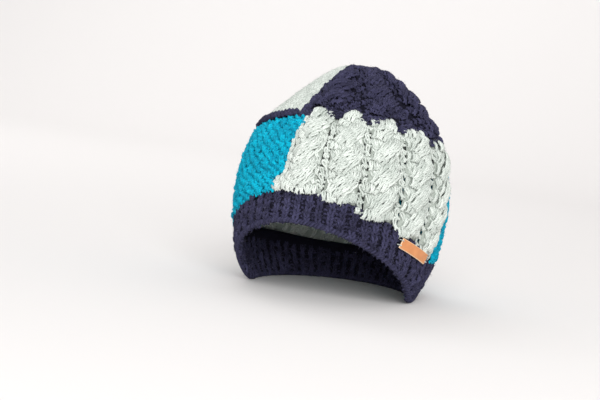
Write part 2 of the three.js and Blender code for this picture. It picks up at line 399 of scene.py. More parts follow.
def multiply_add(tree, first, second, third, clamped=False):
    """The output of a node that multiplies two values and adds a third."""
    values = {0: first, 1: second, 2: third}
    return add_node(tree, "Math", values, operation="MULTIPLY_ADD", use_clamp=clamped).outputs[0]


def mixed(tree, share, first, second):
    """The output of a node that goes from one colour to another by a share. In a colour mix the share
    goes into socket 0 and the colours into sockets 6 and 7, and output 2 is their blend."""
    return add_node(tree, "Mix", {0: share, 6: first, 7: second}, data_type="RGBA").outputs[2]


def new_material(name, values):
    """A new material with values on its shader's sockets: the material, its tree and its shader."""
    material = bpy.data.materials.new(name)
    material.use_nodes = True
    shader = material.node_tree.nodes["Principled BSDF"]
    feed(material.node_tree, shader, values)
    return material, material.node_tree, shader


def new_group(name, given, found):
    """A new group of shader nodes with named sockets, each of a type: the group, what it is given,
    and the node that takes what it finds."""
    tree = bpy.data.node_groups.new(name, "ShaderNodeTree")
    for socket, kind in given.items():
        tree.interface.new_socket(socket, in_out="INPUT", socket_type=f"NodeSocket{kind}")
    for socket, kind in found.items():
        tree.interface.new_socket(socket, in_out="OUTPUT", socket_type=f"NodeSocket{kind}")
    return tree, tree.nodes.new("NodeGroupInput").outputs, tree.nodes.new("NodeGroupOutput")


STITCH_WEIGHT = 0.45
FLECK_WEIGHT = 0.35
PATCH_WEIGHT = 0.55
PATCH_OFFSET = -0.1


def make_heather_group():
    """Heathered wool, from its deep colour to its light one: each stitch has its own shade, broad
    patches differ a little, and fine flecks run through it."""
    tree, given, found = new_group("heather", {"Deep": "Color", "Light": "Color"}, {"Color": "Color"})
    where = add_node(tree, "TexCoord").outputs["Object"]
    shade = add_node(tree, "Attribute", attribute_name="stitch_shade").outputs["Fac"]
    patch = add_node(tree, "TexNoise", {"Vector": where, "Scale": 60}).outputs["Fac"]
    fleck = add_node(tree, "TexNoise", {"Vector": where, "Scale": 900, "Detail": 3}).outputs["Fac"]
    spread = add_node(tree, "MapRange", {"Value": fleck, "From Min": 0.3, "From Max": 0.7}).outputs[0]
    patched = multiply_add(tree, patch, PATCH_WEIGHT, PATCH_OFFSET)
    stitched = multiply_add(tree, shade, STITCH_WEIGHT, patched)
    flecked = multiply_add(tree, spread, FLECK_WEIGHT, stitched, clamped=True)
    feed(tree, found, {"Color": mixed(tree, flecked, given["Deep"], given["Light"])})
    return tree


PLIES = 3
PLY_TURNS = 9
RIDGE_WEIGHT = 0.35
# Painted shade: the colour is scaled from darker in the grooves between plies to lighter on the ridges.
PAINTED_PLY_SHADE = {"From Min": 0.1, "From Max": 0.85, "To Min": 0.88, "To Max": 1.24}


def make_ply_group():
    """Plied yarn: slanting ridges that wind round the strand, from the run and the girth in the
    yarn's UV map, with fine hairiness over them. The Shade output is painted shade: it darkens the
    colour in the grooves between plies and lightens it on the ridges."""
    tree, given, found = new_group("plies", {"Turns": "Float"}, {"Height": "Float", "Shade": "Float"})
    where = add_node(tree, "TexCoord").outputs["Object"]
    chart = add_node(tree, "UVMap", uv_map="yarn").outputs["UV"]
    split = add_node(tree, "SeparateXYZ", {"Vector": chart}).outputs
    plied = add_node(tree, "Math", {0: split["Y"], 1: PLIES}, operation="MULTIPLY").outputs[0]
    wind = multiply_add(tree, split["X"], given["Turns"], plied)
    turns = add_node(tree, "Math", {0: wind, 1: 2 * np.pi}, operation="MULTIPLY").outputs[0]
    wave = add_node(tree, "Math", {0: turns}, operation="SINE").outputs[0]
    hairs = add_node(tree, "TexNoise", {"Vector": where, "Scale": 2600, "Detail": 2}).outputs["Fac"]
    ridge = multiply_add(tree, wave, RIDGE_WEIGHT, hairs)
    painted_ply_shade = add_node(tree, "MapRange", {"Value": ridge, **PAINTED_PLY_SHADE}).outputs[0]
    feed(tree, found, {"Height": ridge, "Shade": painted_ply_shade})
    return tree


heather = make_heather_group()
plies = make_ply_group()


def wool(name, deep, light):
    """A dull, hairy wool yarn between two colours, with plies raised on it, painted shade in the grooves
    between plies, and a soft sheen.
    """
    surface = {"Roughness": 0.92, "Specular IOR Level": 0.2}
    sheen = {"Sheen Weight": 0.3, "Sheen Roughness": 0.5, "Sheen Tint": light}
    material, tree, shader = new_material(name, surface | sheen)
    colour = add_node(tree, "Group", {"Deep": deep, "Light": light}, node_tree=heather).outputs[0]
    twist = add_node(tree, "Group", {"Turns": PLY_TURNS}, node_tree=plies).outputs
    # Painted shade: the yarn's colour is scaled darker in the ply grooves and lighter on the ridges.
    shaded = add_node(tree, "VectorMath", {0: colour, "Scale": twist["Shade"]}, operation="SCALE")
    bump = add_node(tree, "Bump", {"Strength": 0.8, "Distance": 0.0005, "Height": twist["Height"]})
    feed(tree, shader, {"Base Color": shaded.outputs["Vector"], "Normal": bump.outputs["Normal"]})
    return material


def shade_and_highlight_fibres(name, deep, light):
    """A rough, fibrous surface between two shades in fine flecks, with a rough, fibrous bump. It colours
    the sheet behind the stitches, darker than the yarn as painted shade, and the loose fibres, paler than
    the yarn: partly the wool's own lighter strands, partly painted highlight.
    """
    material, tree, shader = new_material(name, {"Roughness": 0.95, "Specular IOR Level": 0.1})
    colour = add_node(tree, "Group", {"Deep": deep, "Light": light}, node_tree=heather).outputs[0]
    where = add_node(tree, "TexCoord").outputs["Object"]
    matting = {"Vector": where, "Scale": 1100, "Detail": 4, "Distortion": 1.5}
    matted = add_node(tree, "TexNoise", matting).outputs["Fac"]
    bump = add_node(tree, "Bump", {"Distance": 0.0008, "Height": matted})
    feed(tree, shader, {"Base Color": colour, "Normal": bump.outputs["Normal"]})
    return material


def dyed(name, yarn, painted_gap_shade, fibres):
    """One dyed wool as three materials, each between two colours: the spun yarn; the sheet behind the
    stitches, darker as painted shade in the gaps; and the loose fibres, paler, partly painted highlight.
    """
    return {
        "slot": name,
        "yarn": wool(name, *yarn),
        "shade_and_highlight_fibres": shade_and_highlight_fibres(f"{name}_felt", *painted_gap_shade),
        "fuzz": shade_and_highlight_fibres(f"{name}_fuzz", *fibres),
    }


PLAIN_SLACK = 0.045
CROWDING = (0.72, 1.1)
YARN_UNEVEN = (0.94, 1.08)


def knit_stitches(name, node, dye, chart, radius=YARN_RADIUS, slack=PLAIN_SLACK):
    """Knits a list of stitches into one piece, with thinner yarn where the stitches are crowded."""
    chart = loosened(chart, slack)
    paths, ways, girth = knit_loops(**chart)
    crowding = np.clip(np.sqrt(chart["wide"] / STITCH_WIDTH), *CROWDING)
    thick = radius * crowding * draw.uniform(*YARN_UNEVEN, len(paths))
    return knit_piece(name, node, dye, paths, ways, thick[:, None] * girth)


def knit_block(name, node, dye, chart, hairs, **how):
    """One block's stitches, with loose fibres standing off them."""
    points, spokes = knit_stitches(f"{name}_stitches", node, dye, chart, **how)
    fuzz_piece(f"{name}_fuzz", node, dye, points, spokes, hairs)


navy = dyed(
    "navy_wool",
    (linear(13, 12, 25), linear(66, 65, 94)),
    # Sheet behind the stitches: darker than the yarn, painted shade in the gaps between stitches.
    (linear(20, 19, 30), linear(32, 31, 46)),
    # Loose fibres: paler than the yarn, partly the wool's own lighter strands and partly painted
    # highlight.
    (linear(84, 84, 112), linear(150, 148, 174)),
)

RIBS = 60
BAND_ROWS = 7
RIB_RISE = 0.0009
BAND_SINK = -0.0010
RIB_WIDER = 0.14
BAND_RADIUS = 0.00104
BAND_DEPTH = 0.0012
BAND_FOOT = 1.05
BAND_SPREAD = 1.15
BAND_SLACK = 0.13
BAND_HAIRS = 19000
BAND_MESHES_ROUND, BAND_MESHES_UP = 240, 10
TUCK = 0.004
TUCK_SINK = 0.0034
TUCK_FROM = 0.7
TUCK_RUN = 0.2


def tucked_line(turn):
    """The band's last row, and a little above it, where the sheet of painted shade is tucked behind the
    blocks.
    """
    return band_top_line(turn) + TUCK


def tucked_ground(across, up):
    """The height of the band's sheet of painted shade: level, and drawn inwards near its top."""
    return level_ground(across, up) - TUCK_SINK * np.clip((up - TUCK_FROM) / TUCK_RUN, 0, 1)


tucked_place = between(-180, 180, rim_line, tucked_line)
band_lines = even_lines(BAND_MESHES_ROUND)
backing_piece("band_backing", "band", navy, tucked_place, band_lines, BAND_MESHES_UP, tucked_ground)
band_place = between(-180, 180, rim_line, band_top_line)
column, row = np.meshgrid(np.arange(2 * RIBS), np.arange(BAND_ROWS))
rib_face = np.where(column % 2 == 0, 1, -1)
turn, share = band_place(column / (2 * RIBS), (row + BAND_FOOT) / (BAND_ROWS + BAND_SPREAD))
tall = OUTLINE_LENGTH * (share_at_height(band_top_line(turn)) - share_at_height(rim_line(turn)))
band_chart = stitch_chart(
    turn,
    share,
    degree_length(share) * 360 / (2 * RIBS) * (1 + RIB_WIDER * rib_face),
    tall / BAND_ROWS,
    rib_face,
    before=-rib_face,
    after=-rib_face,
    raised=BAND_SINK + RIB_RISE * rib_face,
    depth=BAND_DEPTH,
)
knit_block("band", "band", navy, band_chart, BAND_HAIRS, radius=BAND_RADIUS, slack=BAND_SLACK)

EDGE_RADIUS = 0.0013
EDGE_TURNS = 96
EDGE_SAMPLES = 10
EDGE_UP = 1.7


def twisted_edge(strand):
    """One of the two strands of the cast-on edge: a helix round the rim, half a turn from the other."""
    turn = np.linspace(-180, 180, EDGE_TURNS * EDGE_SAMPLES + 1)[None, :]
    wind = np.radians(turn) * EDGE_TURNS + np.pi * strand
    share = share_at_height(rim_line(turn) + EDGE_UP * EDGE_RADIUS + EDGE_RADIUS * np.sin(wind))
    raised = EDGE_RADIUS * np.cos(wind)
    return on_hat(turn, share, raised), outwards(turn, share)


edge_strands = [twisted_edge(strand) for strand in range(2)]
knit_piece(
    "band_edge",
    "band",
    navy,
    np.concatenate([path for path, way in edge_strands]),
    np.concatenate([way for path, way in edge_strands]),
    EDGE_RADIUS,
)


# Front block
# A block of pale wool in rope cables, knitted up from the band's last row. Two strands of stitches
# cross in each cable, and the purl gutters between cables sink back and open into small holes.

TIER_LINE = 0.134
TIER_SLOPE = 0.022
TIER_TURN = 15
FRONT_START, FRONT_END = -12, 100
SEAM_SKEW = 24
FRONT_CABLES = 5
FRONT_ROWS = 17
SCALLOP = 0.0022
SCALLOP_SAMPLES = 200
CABLE_HALF = 0.0168
CABLE_SHARE = 0.42
STRAND_SHARE = 0.53
STRAND_STITCHES = 5
STRAND_OVERLAP = 1.08
ROPE = {"rise": 0.0024, "twist": 0.0040, "crossing": 0.0215}
CABLE_EASE = 0.012
CABLE_ROUND = 0.00075
CABLE_DEPTH = 0.0007
CABLE_RADIUS = 0.0011
CABLE_SLACK = 0.10
GUTTER_STITCH = 0.0050
GUTTER_ROWS = 0.78
GUTTER_SLACK = 0.12
GUTTER_SINK = -0.0016
GUTTER_NARROWER = 0.68
GUTTER_SLANT = -0.45


def tier_line(turn):
    """Height of the line between the blocks and the crown, which slopes down from front to back."""
    return TIER_LINE + TIER_SLOPE * np.cos(np.radians(turn - TIER_TURN))


def front_top_line(turn):
    """The tier line, scalloped over the front block: up at each cable and down at each gutter."""
    across = even_lines(SCALLOP_SAMPLES)
    head = FRONT_START + (FRONT_END - FRONT_START) * across + SEAM_SKEW / 2 * across**3
    wave = -SCALLOP * np.cos(2 * np.pi * FRONT_CABLES * across)
    return tier_line(turn) + np.interp(turn, head, wave, left=0, right=0)


def cable_half(pitch):
    """Half the width of a cable: its full size, or a share of the pitch where that is narrow."""
    return np.minimum(CABLE_HALF, CABLE_SHARE * pitch)


NEARBY = 0.01


def spans(place, across, up, count):
    """At places on a block: turn, share, the block's height there, and the pitch of a count of cables
    or stitches across it, from the turn between two places nearby."""
    turn, share = place(across, up)
    tall = OUTLINE_LENGTH * (place(across, 1)[1] - place(across, 0)[1])
    degrees = (place(across + NEARBY, up)[0] - place(across - NEARBY, up)[0]) / (2 * NEARBY)
    return turn, share, tall, degrees * degree_length(share) / count


def cable_stitches(place, cables, rows, foot, rise, twist, crossing):
    """Rope cables. Each strand swings from side to side with a cosine and in and out with a sine, half
    a wave to each crossing, so that the two wind round each other. Its stitches lie side by side,
    square to its run but upright near its ends, and fall away to its sides with a square."""
    cable, strand, file, row = np.meshgrid(
        np.arange(cables), np.arange(2), np.arange(STRAND_STITCHES), np.arange(foot, rows), indexing="ij"
    )
    up = (row + 0.5) / rows
    turn, share, tall, pitch = spans(place, (cable + 0.5) / cables, up, cables)
    strand_half = STRAND_SHARE * cable_half(pitch)
    swing = cable_half(pitch) - strand_half
    run = (up - foot / rows) * tall
    ends = np.clip(np.minimum(run, (1 - up) * tall) / CABLE_EASE, 0, 1)
    phase = np.pi * (run / crossing + strand)
    slant = ends * np.arctan(np.pi * swing / crossing * np.sin(phase))
    wide = 2 * strand_half / STRAND_STITCHES
    fullness = cable_half(pitch) / CABLE_HALF
    off = file - (STRAND_STITCHES - 1) / 2
    sideways = off * wide * np.cos(slant) - swing * np.cos(phase)
    return stitch_chart(
        turn + sideways / degree_length(share),
        share - off * wide * np.sin(slant) / OUTLINE_LENGTH,
        wide * STRAND_OVERLAP,
        tall / rows / np.cos(slant),
        slant=slant,
        depth=CABLE_DEPTH,
        raised=fullness * np.maximum(rise + twist * np.sin(phase) - CABLE_ROUND * off**2, 0),
    )


def gutter_stitches(place, cables, gutters, span, rows, foot):
    """Purl stitches between cables, and all across below their feet: as many in each row as there is
    room for, set evenly and drawn aslant. At the block's own edges there are knit stitches instead."""
    widest = np.max(spans(place, 0.5, 0.0, cables)[3])
    gutter, column, row = np.meshgrid(
        gutters, np.arange(int(widest / GUTTER_STITCH) + 2), np.arange(*span), indexing="ij"
    )
    _, _, tall, pitch = spans(place, gutter / cables, (row + 0.5) / rows, cables)
    room = np.where(row < foot, pitch, pitch - 2 * cable_half(pitch))
    edge = (gutter == 0) | (gutter == cables)
    step = np.where(edge, 2, 1)
    count = np.maximum(np.round(room / GUTTER_STITCH / step), 1) * step
    sideways = ((column + 0.5) / count - 0.5) * room
    inside = (column < count) & ((gutter > 0) | (sideways > 0)) & ((gutter < cables) | (sideways < 0))
    between_cables = (row >= foot) & ~edge
    turn, share = place((gutter + sideways / pitch) / cables, (row + 0.5) / rows)
    return stitch_chart(
        turn[inside],
        share[inside],
        (room / count * np.where(between_cables, GUTTER_NARROWER, 1))[inside],
        (tall / rows)[inside],
        np.where(edge & (row >= foot), 1.0, -1.0)[inside],
        slant=GUTTER_SLANT * between_cables[inside],
        raised=GUTTER_SINK * between_cables[inside],
    )


def cable_ground(place, cables, foot, rise):
    """The height of the sheet of painted shade under cables: a rounded back under each of them, and sunk
    in the gutters between."""

    def ground(across, up):
        pitch = spans(place, across, up, cables)[3]
        sideways = ((across * cables) % 1 - 0.5) * pitch
        back = np.sqrt(np.clip(1 - (sideways / cable_half(pitch)) ** 2, 0, 1))
        swell = rise * cable_half(pitch) / CABLE_HALF * back + GUTTER_SINK * (1 - back)
        return BACKING_RAISED + swell * (up > foot)

    return ground


HOLE_LINES = np.array([0.026, 0.098])
CABLE_LINES = np.concatenate([[0], HOLE_LINES, np.linspace(0.2, 0.8, 7), 1 - HOLE_LINES[::-1]])
CABLE_MESHES = 26
OPEN_SHARE = 0.85
OPEN_HEAD = 3


def open_gutters(cables):
    """Which meshes of a loosely knitted block's sheet of painted shade are open: a share of those along
    both sides of each gutter, picked at random, but none near the block's head or at its side seams."""
    row, strip = np.meshgrid(np.arange(CABLE_MESHES), np.arange(cables * CABLE_LINES.size), indexing="ij")
    beside = np.isin(strip % CABLE_LINES.size, (1, CABLE_LINES.size - 2))
    beside &= (strip > CABLE_LINES.size // 2) & (strip < (cables - 0.5) * CABLE_LINES.size)
    return beside & (row < CABLE_MESHES - OPEN_HEAD) & (draw.random(row.shape) < OPEN_SHARE)


def cabled_block(name, node, dye, place, cables, rows, hairs, rope=ROPE, foot=0, change=None):
    """A whole cabled block: the sheet of painted shade behind it, with holes where the block is loosely
    knitted, then cables, gutters, edges and loose fibres."""
    ground = cable_ground(place, cables, foot / rows, rope["rise"])
    holes = open_gutters(cables) if change else None
    lines = np.append((np.arange(cables)[:, None] + CABLE_LINES) / cables, 1)
    backing_piece(f"{name}_backing", node, dye, place, lines, CABLE_MESHES, ground, holes)
    gutters = np.arange(1, cables)
    loose_rows, loose_foot = round(rows * GUTTER_ROWS), round(foot * GUTTER_ROWS)
    purl = gutter_stitches(place, cables, gutters, (loose_foot, loose_rows), loose_rows, loose_foot)
    chart = joined(
        cable_stitches(place, cables, rows, foot, **rope),
        gutter_stitches(place, cables, [0, cables], (0, rows), rows, foot),
        gutter_stitches(place, cables, gutters, (0, foot), rows, foot),
        loosened(purl, GUTTER_SLACK),
    )
    chart = change(chart) if change else chart
    knit_block(name, node, dye, chart, hairs, radius=CABLE_RADIUS, slack=CABLE_SLACK)


FIRST_ROW = 0.7
HANG_LEAST = 0.2
HANG_DROP = 0.0020
HANG_LIFT = 0.0008
LOOSE_TURN = 31.2
LOOSE_DROP = 0.0018
LOOSE_WIDE = 0.0034
LOOSE_TALL = 0.0026
LOOSE_LIFT = 0.0022
NOSE = 0.0032
NOSE_TALL = 0.0085
NOSE_WIDE = 10
NOSE_LIFT = 0.0025
NOSE_COLUMNS, NOSE_ROWS = 3, 3
NOSE_STITCH = 0.0032
NOSE_FOOT = 0.4
NOSE_ASIDE = 1.5
NOSE_SLOPE = 0.5
TAG_CORNER_TURN = 54


def hung(chart):
    """The first row is drawn down over the band by up to its drop, but not at the tag. At the seam on
    the other side the lowest stitches bulge over the next block, with a bell curve in height that
    dies away along the row, and a few more stitches fill the bulge. One loose stitch hangs below."""
    above = (chart["share"] - share_at_height(band_top_line(chart["turn"]))) * OUTLINE_LENGTH
    first = (above < FIRST_ROW * chart["tall"]) & (chart["turn"] < TAG_CORNER_TURN)
    drop = first * draw.uniform(HANG_LEAST, 1, first.size) * HANG_DROP
    near_seam = np.clip(1 - (chart["turn"] - FRONT_START) / NOSE_WIDE, 0, 1)
    bulge = np.exp(-((above / NOSE_TALL) ** 2)) * near_seam
    chart = chart | {
        "turn": chart["turn"] - NOSE * bulge / degree_length(chart["share"]),
        "share": chart["share"] - drop / 2 / OUTLINE_LENGTH,
        "tall": chart["tall"] + drop / 2,
        "raised": chart["raised"] + HANG_LIFT * first + NOSE_LIFT * bulge,
    }
    loose_share = share_at_height(band_top_line(LOOSE_TURN) - LOOSE_DROP)
    loose = stitch_chart([LOOSE_TURN], [loose_share], LOOSE_WIDE, LOOSE_TALL, raised=LOOSE_LIFT)
    column, row = np.meshgrid(np.arange(NOSE_COLUMNS), np.arange(NOSE_ROWS))
    nose_foot = share_at_height(band_top_line(FRONT_START))
    nose_share = nose_foot + (row + NOSE_FOOT) * NOSE_STITCH / OUTLINE_LENGTH
    columns_aside = NOSE_COLUMNS - NOSE_ASIDE - column - NOSE_SLOPE * row
    aside = columns_aside * NOSE_STITCH / degree_length(nose_share)
    nose = stitch_chart(FRONT_START - aside, nose_share, NOSE_STITCH, NOSE_STITCH, raised=NOSE_LIFT)
    return joined(chart, loose, nose)


pale = dyed(
    "pale_wool",
    (linear(162, 171, 164), linear(222, 228, 222)),
    # Sheet behind the stitches: darker than the yarn, painted shade in the gaps between stitches.
    (linear(160, 168, 160), linear(192, 200, 192)),
    # Loose fibres: paler than the yarn, partly the wool's own lighter strands and partly painted
    # highlight.
    (linear(224, 229, 224), linear(248, 250, 247)),
)
BLOCK_HAIRS = 9000

front_place = between(FRONT_START, FRONT_END, band_top_line, front_top_line, skew_end=SEAM_SKEW)
cabled_block(
    "front", "block_front", pale, front_place, FRONT_CABLES, FRONT_ROWS, BLOCK_HAIRS, change=hung
)


# Side blocks
# Two blocks of teal wool in moss stitch, left and right of the front block: knit and purl change
# places from stitch to stitch and from row to row, which leaves small bumps all over.

MOSS_ROWS = 19
MOSS_DEPTH = 0.0014
MOSS_RADIUS = 0.00118
MOSS_SLACK = 0.13
MOSS_SHIFT = 0.35
MOSS_EDGE = 0.3
MOSS_ROOM = 0.6
MOSS_OVER = 0.0008
MOSS_TUCK = 0.0010
MOSS_LAST = 0.8
LEFT_START, LEFT_COLUMNS = -103, 31
RIGHT_END, RIGHT_COLUMNS = 178, 26
SIDE_MESHES_ACROSS, SIDE_MESHES_UP = 60, 24


def moss_stitches(place, columns, rows):
    """Knit and purl by turns along each row, and the other way round in the next row, with each row
    drawn a little to one side. The first row lies over the band, and the last row is tucked in under
    the line above."""
    column, row = np.meshgrid(np.arange(columns), np.arange(rows))
    shift = draw.uniform(-MOSS_SHIFT, MOSS_SHIFT, (rows, 1))
    across = np.clip((column + 0.5 + shift) / columns, MOSS_EDGE / columns, 1 - MOSS_EDGE / columns)
    turn, share, tall, pitch = spans(place, across, (row + 0.5) / (rows + MOSS_ROOM), columns)
    face = np.where((column + row) % 2 == 0, 1.0, -1.0)
    tucked = row == rows - 1
    return stitch_chart(
        turn,
        share,
        pitch,
        tall / rows * np.where(tucked, MOSS_LAST, 1),
        face,
        before=-face,
        after=-face,
        depth=MOSS_DEPTH,
        raised=MOSS_OVER * (row == 0) - MOSS_TUCK * tucked,
    )


teal = dyed(
    "teal_wool",
    (linear(0, 116, 148), linear(0, 184, 212)),
    # Sheet behind the stitches: darker than the yarn, painted shade in the gaps between stitches.
    (linear(0, 84, 110), linear(0, 108, 136)),
    # Loose fibres: paler than the yarn, partly the wool's own lighter strands and partly painted
    # highlight.
    (linear(40, 170, 196), linear(96, 206, 224)),
)

left_place = between(LEFT_START, FRONT_START, band_top_line, tier_line)
right_place = between(FRONT_END, RIGHT_END, band_top_line, tier_line, skew_start=SEAM_SKEW)
side_lines = even_lines(SIDE_MESHES_ACROSS)
for side, side_place, columns in (
    ("left", left_place, LEFT_COLUMNS),
    ("right", right_place, RIGHT_COLUMNS),
):
    node = f"block_{side}"
    backing_piece(f"{side}_backing", node, teal, side_place, side_lines, SIDE_MESHES_UP)
    moss_chart = moss_stitches(side_place, columns, MOSS_ROWS)
    knit_block(side, node, teal, moss_chart, BLOCK_HAIRS, radius=MOSS_RADIUS, slack=MOSS_SLACK)


# Back block
# A second block of pale wool in the same rope cables, between the two teal blocks.

BACK_END = 257
BACK_CABLES = 4
BACK_ROWS = 17

back_place = between(RIGHT_END, BACK_END, band_top_line, tier_line)
cabled_block("back", "block_back", pale, back_place, BACK_CABLES, BACK_ROWS, BLOCK_HAIRS)


# Navy half of the crown
# Navy wool in rope cables, picked up over the front block, the near edge of the left block and most
# of the right one. Two rows of purl come first, then the cables, and both the cables and the gutters
# between them grow narrower towards the top.

CROWN_FIRST, CROWN_SECOND = -22, 158
CROWN_CABLES = 4
CROWN_ROWS = 26
CROWN_FOOT = 2
CROWN_ROPE = {"rise": 0.0034, "twist": 0.0052, "crossing": 0.0155}
GATHER_REACH = 0.12
CROWN_HAIRS = 12000


def share_at_reach(reach):
    """The share of the outline at which the crown has come in to a share of the widest reach."""
    top = outline[len(outline) // 2 :]
    run = outline_run[len(outline) // 2 :]
    return np.interp(-reach * MEAN_REACH, -top[:, 0], run) / OUTLINE_LENGTH


def crown_between(start, end, low, above):
    """Places a half of the crown: from one seam to the other, and from a line, or a little above it,
    to the gather."""

    def place(across, up):
        turn = start + (end - start) * across
        low_share = share_at_height(low(turn)) + above / OUTLINE_LENGTH
        return turn, low_share + (share_at_reach(GATHER_REACH) - low_share) * up

    return place


navy_place = crown_between(CROWN_FIRST, CROWN_SECOND, front_top_line, 0)
cabled_block(
    "crown_navy",
    "crown_navy",
    navy,
    navy_place,
    CROWN_CABLES,
    CROWN_ROWS,
    CROWN_HAIRS,
    rope=CROWN_ROPE,
    foot=CROWN_FOOT,
)


# Navy row
# One thick row of navy purl bumps round the foot of the crown's pale half, where it is joined on.

WELT = 0.005
WELT_STITCHES = 54
WELT_RISE = 0.0016
WELT_RADIUS = 0.0018
WELT_MESHES_ALONG, WELT_MESHES_UP = 120, 2


def welt_place(across, up):
    """Along the pale half's foot, from the tier line up to the height of the row."""
    turn = CROWN_SECOND + (CROWN_FIRST + 360 - CROWN_SECOND) * across
    return turn, share_at_height(tier_line(turn)) + WELT / OUTLINE_LENGTH * up


welt_turn, welt_share, _, welt_pitch = spans(
    welt_place, (np.arange(WELT_STITCHES) + 0.5) / WELT_STITCHES, 0.5, WELT_STITCHES
)
welt_chart = stitch_chart(welt_turn, welt_share, welt_pitch, WELT / 2, -1.0, raised=WELT_RISE)
welt_lines = even_lines(WELT_MESHES_ALONG)
backing_piece("welt_backing", "crown_welt", navy, welt_place, welt_lines, WELT_MESHES_UP)
knit_stitches("welt_row", "crown_welt", navy, welt_chart, WELT_RADIUS)


# Pale half of the crown
# Pale wool in plain knitting over the other half. Stitches are knitted together here and there in
# each row, so that the rows grow shorter towards the top.

PALE_ROWS = 21
PLAIN_STITCH = 0.0047
PALE_RADIUS = 0.00112
FEWEST_STITCHES = 3
PALE_MESHES_ACROSS, PALE_MESHES_UP = 120, 28


def plain_stitches(place, rows, stitch):
    """Knit stitches, as many in each row as there is room for at a stitch's width, set evenly."""
    lengths = spans(place, 0.5, (np.arange(rows) + 0.5) / rows, 1)[3]
    counts = np.maximum(np.round(lengths / stitch), FEWEST_STITCHES)
    column, row = np.meshgrid(np.arange(counts.max()), np.arange(rows))
    count = counts[row]
    kept = column < count
    turn, share, tall, length = spans(place, (column + 0.5) / count, (row + 0.5) / rows, 1)
    return stitch_chart(turn[kept], share[kept], (length / count)[kept], (tall / rows)[kept])


pale_place = crown_between(CROWN_SECOND, CROWN_FIRST + 360, tier_line, WELT)
pale_lines = even_lines(PALE_MESHES_ACROSS)
backing_piece("crown_pale_backing", "crown_pale", pale, pale_place, pale_lines, PALE_MESHES_UP)
pale_chart = plain_stitches(pale_place, PALE_ROWS, PLAIN_STITCH)
knit_block("crown_pale", "crown_pale", pale, pale_chart, BLOCK_HAIRS, radius=PALE_RADIUS)


# Gathered top
# The last few navy stitches, drawn together on their own yarn into a small rosette.

GATHER_ROWS = 3
GATHER_STITCH = 0.0042
GATHER_HOLE = 0.002
GATHER_MESHES_ROUND, GATHER_MESHES_IN = 48, 6


def gather_place(across, up):
    """All round the top, from the crown's last row in to a tiny hole in the middle."""
    foot = share_at_reach(GATHER_REACH)
    turn = 360 * np.asarray(across, float)
    return turn, foot + (share_at_reach(GATHER_HOLE) - foot) * up + 0 * turn


gather_lines = even_lines(GATHER_MESHES_ROUND)
backing_piece("gather_backing", "crown_gather", navy, gather_place, gather_lines, GATHER_MESHES_IN)
gather_chart = plain_stitches(gather_place, GATHER_ROWS, GATHER_STITCH)
knit_stitches("gather_stitches", "crown_gather", navy, gather_chart)


# Leather tag
# A small strip of tan leather with raw, paler edges, bent round the band just under its last row,
# slanting down with it, and held at each end with two stitches of pale thread.

TAG_LENGTH = 0.041
TAG_TALL = 0.009
TAG_THICK = 0.0015
TAG_CORNER = 0.0007
TAG_TURN = 68.5
TAG_DROP = 0.0085
TAG_SLANT = np.radians(22)
TAG_CLEAR = 0.0024
TAG_SAMPLES = 40
TAG_EDGE_SAMPLES = 6
TAG_END_THIN = 0.6
RAW_SIDE, RAW_SIDE_BLEND = 0.0006, 0.0003
RAW_END, RAW_END_BLEND = 0.0008, 0.0004
tag_middle = band_top_line(TAG_TURN) - TAG_DROP
tag_degree = degree_length(share_at_height(tag_middle))


def tag_place(along, up):
    """The turn and share of a place on the tag, along it and up it in metres from its middle."""
    turn = TAG_TURN + (along * np.cos(TAG_SLANT) + up * np.sin(TAG_SLANT)) / tag_degree
    return turn, share_at_height(tag_middle + up * np.cos(TAG_SLANT) - along * np.sin(TAG_SLANT))


def tag_surface():
    """A rounded oblong section carried along the tag, narrowed at both ends to round its corners and
    closed there: its points, its faces, and a mark that is 1 on the raw edges and 0 on the faces."""
    corner = np.linspace(0, np.pi / 2, TAG_EDGE_SAMPLES)
    arc = np.stack([np.cos(corner), np.sin(corner)], axis=-1) * TAG_CORNER
    inner = np.array([TAG_TALL / 2, TAG_THICK / 2]) - TAG_CORNER
    quarters = [
        arc * [1, 1] + inner,
        (arc * [-1, 1] + inner * [-1, 1])[::-1],
        arc * [-1, -1] - inner,
        (arc * [1, -1] + inner * [1, -1])[::-1],
    ]
    section = np.concatenate(quarters)
    raw_sides = np.clip((np.abs(section[:, 0]) - (TAG_TALL / 2 - RAW_SIDE)) / RAW_SIDE_BLEND, 0, 1)
    end = TAG_LENGTH / 2
    ease = np.linspace(-1, 1, TAG_SAMPLES + 1)
    along = end * np.sin(ease * np.pi / 2)
    inset = np.clip((np.abs(along) - (end - TAG_CORNER)) / TAG_CORNER, 0, 1)
    shrink = TAG_CORNER * (1 - np.sqrt(1 - inset**2))
    up = section[None, :, 0] - np.sign(section[None, :, 0]) * shrink[:, None]
    out = section[None, :, 1] - np.sign(section[None, :, 1]) * shrink[:, None] * TAG_END_THIN
    points = on_hat(*tag_place(along[:, None] + 0 * up, up), TAG_CLEAR + out + TAG_THICK / 2)
    number = np.arange(points.shape[0] * points.shape[1]).reshape(points.shape[:2])
    beside = np.roll(number, -1, axis=1)
    sides = np.stack([number[:-1], number[1:], beside[1:], beside[:-1]], axis=-1).reshape(-1, 4)
    faces = sides[:, ::-1].tolist() + [number[0].tolist(), number[-1, ::-1].tolist()]
    raw_ends = np.clip((np.abs(along) - (end - RAW_END)) / RAW_END_BLEND, 0, 1)
    return points.reshape(-1, 3), faces, np.maximum(raw_sides, raw_ends[:, None]).ravel()


